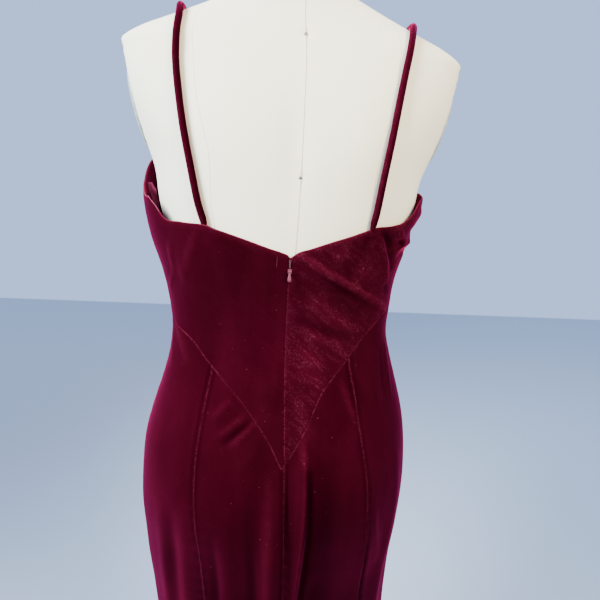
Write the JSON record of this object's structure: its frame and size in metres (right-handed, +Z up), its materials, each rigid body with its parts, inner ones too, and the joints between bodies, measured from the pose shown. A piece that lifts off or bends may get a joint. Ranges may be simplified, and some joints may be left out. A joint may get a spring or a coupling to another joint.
{
  "type": "velvet mermaid gown on dress form",
  "caption": "Sleeveless velvet mermaid gown with tube straps, a pointed basque back seam, a back zip and a fluted hem, worn by a limbless linen dress form on a round steel stand.",
  "frame": {"origin": "centre of the stand base's underside, on the floor", "axes": "+Z up along the pole; -Y towards the front of the gown, +Y towards its back; +X towards the wearer's left"},
  "size_m": [0.824, 0.7407, 1.5123],
  "materials": {
    "velvet": "cut pile velvet, dark burgundy",
    "zip_nylon": "nylon coil",
    "zip_enamel": "gloss enamel",
    "linen": "off-white linen, drawn tight",
    "plate_paint": "satin grey-green paint",
    "steel": "brushed"
  },
  "bodies": {
    "gown_on_form": {"bodice_back_left": "velvet", "bodice_back_right": "velvet", "skirt_back_left": "velvet", "skirt_back_right": "velvet", "side_back_left": "velvet", "side_back_right": "velvet", "front_side_left": "velvet", "front_side_right": "velvet", "front_centre": "velvet", "strap_left": "velvet", "strap_right": "velvet", "zip_coil": "zip_nylon", "zip_slider": "zip_enamel", "form_torso": "linen", "form_neck_cap": "plate_paint", "form_arm_plate_left": "plate_paint", "form_arm_plate_right": "plate_paint", "stand_pole": "steel", "stand_base": "steel"},
    "pull_tab": {"zip_pull": "zip_enamel"}
  },
  "joints": [
    {"name": "pull_swing", "type": "hinge", "parent": "gown_on_form", "child": "pull_tab", "pos_m": [0, 0.09879, 1.1195], "axis": [1, 0, 0], "range_deg": [0, 150]}
  ]
}
